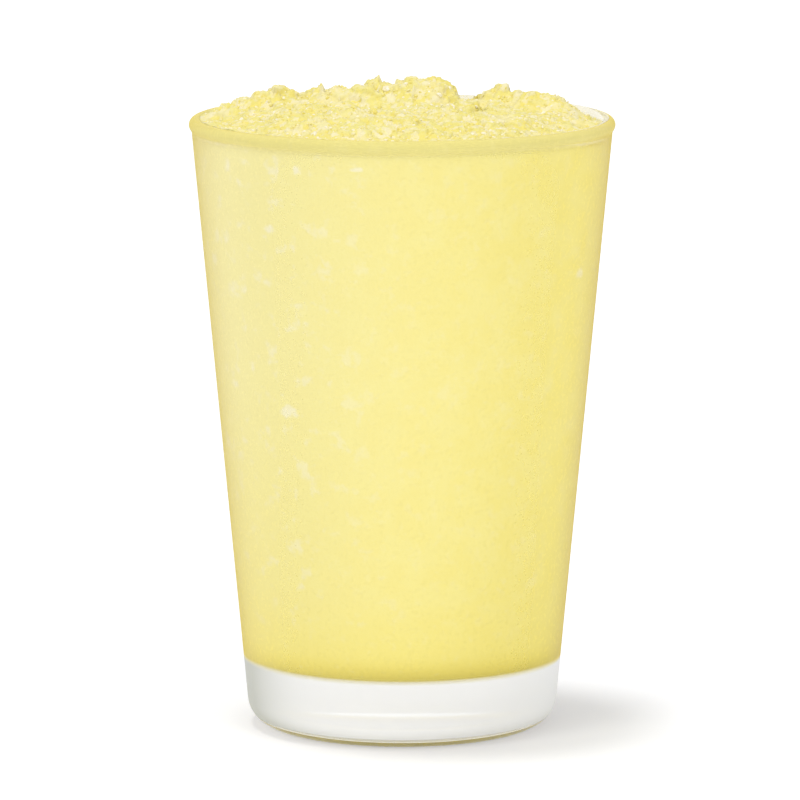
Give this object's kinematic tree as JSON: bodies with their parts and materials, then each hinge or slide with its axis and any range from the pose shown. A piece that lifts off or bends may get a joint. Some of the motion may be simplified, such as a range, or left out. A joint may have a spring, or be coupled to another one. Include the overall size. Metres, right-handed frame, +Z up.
{
  "type": "glass of frozen lemonade",
  "caption": "Conical heavy-based glass tumbler filled with pale yellow frozen lemonade slush, heaped with crushed ice above the rim.",
  "frame": {"origin": "centre of the foot of the glass, on the surface it stands on", "axes": "+Z up along the axis of the glass, +X to the viewer's right, +Y away from the viewer"},
  "size_m": [0.088, 0.088, 0.1351],
  "materials": {
    "glass": "clear soda-lime glass, lightly misted by the cold, with a fire-polished rim",
    "lemonade": "wet, translucent pale yellow slush of crushed ice"
  },
  "bodies": {
    "root": {"glass": "glass", "frozen_lemonade": "lemonade"}
  },
  "joints": []
}
